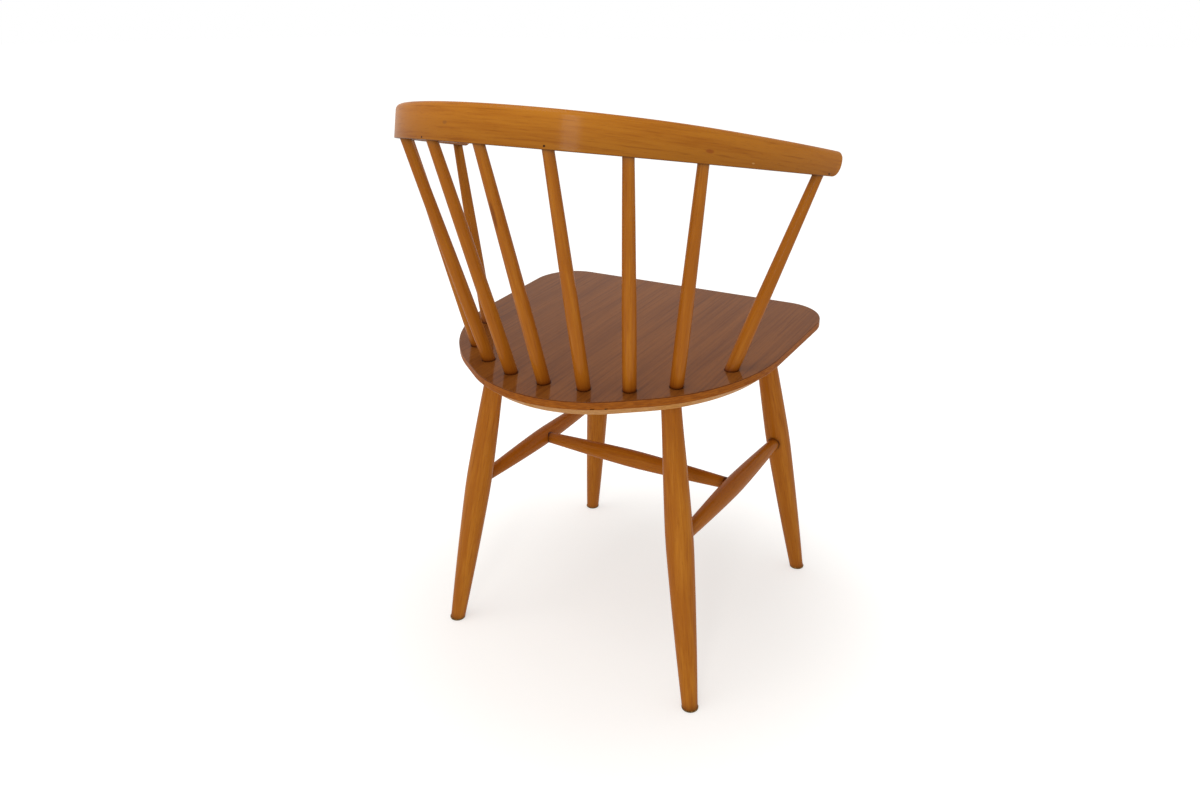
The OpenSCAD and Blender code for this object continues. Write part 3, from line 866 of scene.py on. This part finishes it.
# %% Varnished beech
BROAD_GRAIN, STREAK_GRAIN, FINE_GRAIN = (11, 11, 150), (2.0, 2.0, 38), (0.6, 0.6, 10)
BEECH_LIGHT, BEECH_MID, BEECH_DARK = colour(186, 124, 38), colour(166, 102, 26), colour(130, 74, 18)
# The next colour darkens the joints: partly dirt and dark varnish, partly painted shade.
BEECH_GRIME_AND_SHADE = colour(62, 24, 8)
VARNISH = colour(255, 208, 146)
# The first colour is a painted shade and reflection of the dark seat on the spindles' feet; the
# second is the paler collar under the rail.
BEECH_FOOT_SHADE, BEECH_COLLAR = colour(112, 44, 8), colour(150, 112, 66)


def beech(name, tone=0.0, marks=(), foot_shade_and_collar=False):
    """A higher tone is darker. Marks are (centre, sizes, colour, strength) in the piece's blank."""
    f = Finish(name)
    grain = f.attribute("grain", "Vector")
    broad = f.noise(grain, BROAD_GRAIN)
    streaks = f.noise(grain, STREAK_GRAIN, 3)
    fine = f.noise(grain, FINE_GRAIN, 2)
    light = f.step(f.sum("ADD", f.sum("MULTIPLY", broad, 0.6), f.sum("MULTIPLY", streaks, 0.4)),
                   0.36 + tone, 0.68 + tone)
    wood = f.mix(light, BEECH_MID, BEECH_LIGHT)
    wood = f.mix(f.sum("MULTIPLY", f.step(streaks, 0.42, 0.28), 0.28), wood, BEECH_DARK)
    wood = f.mix(f.sum("MULTIPLY", f.step(fine, 0.42, 0.28), 0.3), wood, BEECH_DARK)
    for centre, sizes, tint, strength in marks:
        wood = f.mix(f.sum("MULTIPLY", f.spot(grain, centre, sizes), strength), wood, tint)
    # Spindles also get the paler collar and a painted shade and reflection of the seat on their
    # feet.
    if foot_shade_and_collar:
        wood = f.mix(f.sum("MULTIPLY", f.attribute("collar", "Fac"), 0.45), wood, BEECH_COLLAR)
        wood = f.mix(f.attribute("painted_foot_shade", "Fac"), wood, BEECH_FOOT_SHADE)
    # Darker at the joints: partly dirt, partly painted shade.
    joint_dirt_and_shade = f.sum("MULTIPLY", f.attribute("grime_and_shade", "Fac"), 0.9)
    wood = f.mix(joint_dirt_and_shade, wood, BEECH_GRIME_AND_SHADE)
    f.set(Base_Color=wood, Roughness=0.6, Specular_IOR_Level=0.03, Coat_Weight=0.32,
          Coat_Roughness=0.14, Coat_IOR=1.3, Coat_Tint=VARNISH)
    f.bump(fine, 0.02)
    return f.material


outer_side = (axes["turned_spindle_5"].to_3x3().inverted() @ Vector((0.05, 1, 0))).normalized()
streak_middle = shift(5) + np.array(outer_side) * 6.5 + (0, 0, 224)
SPINDLE_STREAK = (tuple(streak_middle), (3.2, 3.2, 22), colour(96, 46, 14), 0.55)
spindle_wood = beech("varnished beech, spindles", 0.08, [SPINDLE_STREAK], True)
leg_wood = beech("varnished beech, legs", 0.03)
# The stretchers' darker tone is painted shade from the seat above them.
shaded_stretcher_wood = beech("varnished beech, stretchers", 0.12)
print("beech finishes:", [m.name for m in (spindle_wood, leg_wood, shaded_stretcher_wood)])

# %% The rail's own marks: two pins, two knots, a nick and a dark mark
PIN, BARE = colour(28, 16, 10), colour(222, 178, 112)
KNOT_GREY, KNOT_RED = colour(120, 84, 48), colour(140, 58, 22)
FACE = RAIL_T / 2
rail_marks = [
    ((FACE, 2.6, 73), (3, 1.4, 1.4), PIN, 1.0),
    ((FACE, 3.4, -73), (3, 1.4, 1.4), PIN, 1.0),
    ((FACE, 18, 37), (3, 2.2, 4), KNOT_GREY, 0.4),
    ((FACE, 16.2, -230), (3, 2.5, 6), KNOT_RED, 0.5),
    ((FACE, 10.8, -287), (3, 1.0, 2.5), BARE, 0.8),
    ((FACE, 12.4, -415), (3, 1.5, 3), PIN, 0.7),
]
rail_wood = beech("varnished beech, rail", -0.1, rail_marks)
print(len(rail_marks), "marks on the rail")

# %% The seat's veneer, its plies and its lacquer
VENEER_LIGHT, VENEER_MID, VENEER_DARK = colour(132, 76, 26), colour(114, 62, 19), colour(84, 42, 14)
EDGE_LINE, PLY_GOLD, PLY_GOLD_DARK = colour(84, 36, 12), colour(162, 92, 26), colour(142, 76, 20)
PLY_TAN_WITH_FLOOR_LIGHT, PLY_TAN_DARK_WITH_FLOOR_LIGHT, PLY_GLUE = colour(206, 150, 86), colour(184, 128, 66), colour(124, 72, 30)
PLY_LINES = (-3.0, -6.2, -9.4, -13.0, -16.6, -20.2)
RIM_SHADE = 1.6
f = Finish("lacquered veneer on plywood")
grain = f.attribute("grain", "Vector")
height = f.sum("MULTIPLY", f.axis(grain, 2), 1000.0)
broad = f.noise(grain, (26, 420, 60), 3)
streaks = f.noise(grain, (3.2, 150, 20), 3)
pores = f.noise(grain, (0.7, 16, 5), 2)
figure = f.sum("ADD", f.sum("MULTIPLY", broad, 0.5), f.sum("MULTIPLY", streaks, 0.5))
top = f.mix(f.step(figure, 0.36, 0.64), VENEER_MID, VENEER_LIGHT)
top = f.mix(f.sum("MULTIPLY", f.step(streaks, 0.44, 0.26), 0.3), top, VENEER_DARK)
top = f.mix(f.sum("MULTIPLY", f.step(pores, 0.42, 0.3), 0.4), top, VENEER_DARK)
along_edge = f.noise(grain, (9, 9, 1.1), 2)
band = f.mix(f.step(along_edge, 0.4, 0.6), PLY_GOLD_DARK, PLY_GOLD)
# The downward bevel's paler tan is partly its own paler ply and partly painted bounce light from
# the white floor.
lower = f.mix(f.step(along_edge, 0.4, 0.6), PLY_TAN_DARK_WITH_FLOOR_LIGHT, PLY_TAN_WITH_FLOOR_LIGHT)
side = f.mix(f.step(height, -SEAT_BAND, -SEAT_BAND - 1.0), band, lower)
for line in PLY_LINES:
    away = f.sum("ABSOLUTE", f.sum("SUBTRACT", height, line))
    side = f.mix(f.sum("MULTIPLY", f.step(away, 0.45, 0.1), 0.45), side, PLY_GLUE)
side = f.mix(f.step(height, -1.3, -0.7), side, EDGE_LINE)
wood = f.mix(f.step(height, -0.45, -0.2), side, top)
# Painted shade and reflection of the spindles darken the seat round each spindle's foot.
rim = SPINDLE_FOOT / 2 + RIM_SHADE
for i in range(1, SPINDLES + 1):
    x, y, _ = (seat_plane.inverted() @ spindle_foot(i)) / MM
    joint_dirt_and_shade = f.sum("MULTIPLY", f.spot(grain, (x, y, 0), (rim, rim, 3), 0.85), 0.8)
    wood = f.mix(joint_dirt_and_shade, wood, BEECH_GRIME_AND_SHADE)
lacquer = f.step(height, -0.9, -0.2)
f.set(Base_Color=wood, Roughness=0.6, Specular_IOR_Level=0.03, Coat_IOR=1.33, Coat_Roughness=0.04,
      Coat_Weight=f.sum("ADD", f.sum("MULTIPLY", lacquer, 0.25), 0.1))
seat_wood = f.material

# %% Worn brass for the glides
f = Finish("worn brass plate")
grain = f.attribute("grain", "Vector")
worn = f.noise(grain, (2.5, 2.5, 2.5), 3)
brass = f.mix(f.step(worn, 0.4, 0.62), colour(96, 72, 36), colour(150, 120, 66))
# The brass darkens towards the floor: partly dirt, partly painted shade.
brass = f.mix(f.attribute("grime_and_shade", "Fac"), brass, colour(34, 24, 14))
f.set(Base_Color=brass, Metallic=1.0, Roughness=0.42)
glide_brass = f.material
print("seat and glide finishes ready")

# %% Dress every piece and hide its CAD node
finishes = {"seat": seat_wood, "rail": rail_wood, "spindles": spindle_wood, "legs": leg_wood,
            "glides": glide_brass, "stretchers": shaded_stretcher_wood}
for piece, node in pairs.items():
    kind = ("seat" if piece is seat else "rail" if piece is rail
            else "spindles" if piece in spindles else "legs" if piece in legs.values()
            else "glides" if piece in glides.values() else "stretchers")
    piece.data.materials.clear()
    piece.data.materials.append(finishes[kind])
    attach(piece, "root")
    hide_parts(node)
print(len(pairs), "pieces dressed and riding")

# %% [markdown]
# ## Floor, light and camera
#
# The floor is white and keeps a faint cast shadow. Its own glow is dimmer near the chair, a painted
# shadow under it, and grows with the distance from the chair, so the open floor is white, and less
# of the glow falls on the chair than the camera sees. A tall softbox stands behind the chair on the
# camera's side, and a second one hangs above. The camera looks down from behind the chair, over
# the sitter's right shoulder.

# %% Floor
deselect()
bpy.ops.mesh.primitive_plane_add(size=60, location=(0, 0, 0))
floor = bpy.context.object
floor.name = "studio_floor"
GLOW_IN_PAINTED_SHADOW, GLOW_FAR, GLOW_AS_LIGHT = 0.5, 0.74, 0.45
PAINTED_SHADOW_FADES_FROM, PAINTED_SHADOW_GONE_AT = 0.2, 0.6
f = Finish("white floor")
nodes, links = f.tree.nodes, f.tree.links
centre_out = nodes.new("ShaderNodeVectorMath")
centre_out.operation = "LENGTH"
links.new(nodes.new("ShaderNodeTexCoord").outputs["Object"], centre_out.inputs[0])
# The dimmer glow near the chair is a painted shadow on the floor.
out_of_painted_shadow = f.step(centre_out.outputs["Value"], PAINTED_SHADOW_FADES_FROM, PAINTED_SHADOW_GONE_AT)
glow = f.sum("ADD", f.sum("MULTIPLY", out_of_painted_shadow, GLOW_FAR - GLOW_IN_PAINTED_SHADOW), GLOW_IN_PAINTED_SHADOW)
rays = nodes.new("ShaderNodeLightPath")
seen = f.sum("ADD", f.sum("ADD", rays.outputs["Is Camera Ray"], rays.outputs["Is Glossy Ray"]),
             rays.outputs["Is Transmission Ray"], True)
share = f.sum("ADD", f.sum("MULTIPLY", seen, 1 - GLOW_AS_LIGHT), GLOW_AS_LIGHT)
f.set(Base_Color=(0.62, 0.60, 0.57, 1), Roughness=1.0, Specular_IOR_Level=0.0,
      Emission_Color=(1.0, 1.0, 1.0, 1.0), Emission_Strength=f.sum("MULTIPLY", glow, share))
floor.data.materials.append(f.material)

# %% World: white to the camera and in reflections, softer as light
WORLD_LIGHT = 0.57
world = bpy.data.worlds.new("studio")
bpy.context.scene.world = world
world.use_nodes = True
nodes, links = world.node_tree.nodes, world.node_tree.links
nodes.clear()
rays = nodes.new("ShaderNodeLightPath")
seen = nodes.new("ShaderNodeBackground")
lighting = nodes.new("ShaderNodeBackground")
for background in (seen, lighting):
    background.inputs["Color"].default_value = (1, 1, 1, 1)
seen.inputs["Strength"].default_value = 1.0
lighting.inputs["Strength"].default_value = WORLD_LIGHT
either = nodes.new("ShaderNodeMath")
either.operation = "ADD"
any_of = nodes.new("ShaderNodeMath")
any_of.operation, any_of.use_clamp = "ADD", True
links.new(rays.outputs["Is Camera Ray"], either.inputs[0])
links.new(rays.outputs["Is Glossy Ray"], either.inputs[1])
links.new(either.outputs[0], any_of.inputs[0])
links.new(rays.outputs["Is Transmission Ray"], any_of.inputs[1])
switch = nodes.new("ShaderNodeMixShader")
links.new(any_of.outputs[0], switch.inputs[0])
links.new(lighting.outputs[0], switch.inputs[1])
links.new(seen.outputs[0], switch.inputs[2])
links.new(switch.outputs[0], nodes.new("ShaderNodeOutputWorld").inputs["Surface"])

# %% Softboxes
middle = Vector((0, 0.1, 0.5))


def softbox(name, direction, distance, size, power, towards=middle):
    deselect()
    way = Vector(direction).normalized()
    bpy.ops.object.light_add(type="AREA", location=towards + way * distance)
    lamp = bpy.context.object
    lamp.name = name
    lamp.rotation_euler = way.to_track_quat("Z", "Y").to_euler()
    lamp.data.shape = "RECTANGLE"
    lamp.data.size, lamp.data.size_y = size
    lamp.data.energy = power
    return lamp


softbox("tall softbox", (-0.315, 0.903, 0.252), 2.6, (0.4, 1.6), 13)
softbox("overhead softbox", (0.15, 0.35, 1.0), 2.4, (1.6, 1.6), 20)

# %% Camera
deselect()
LENS, SENSOR = 27.77, 36
CAMERA_AT, CAMERA_LOOKS = (-0.578, 0.9995, 0.8225), (0.4743, -0.7925, -0.3835)
bpy.ops.object.camera_add(location=CAMERA_AT)
camera = bpy.context.object
camera.rotation_euler = Vector(CAMERA_LOOKS).to_track_quat("-Z", "Y").to_euler()
camera.data.lens, camera.data.sensor_width = LENS, SENSOR
bpy.context.scene.camera = camera
bpy.context.scene.view_settings.view_transform = "Standard"

# %% Update the view layer
bpy.context.view_layer.update()
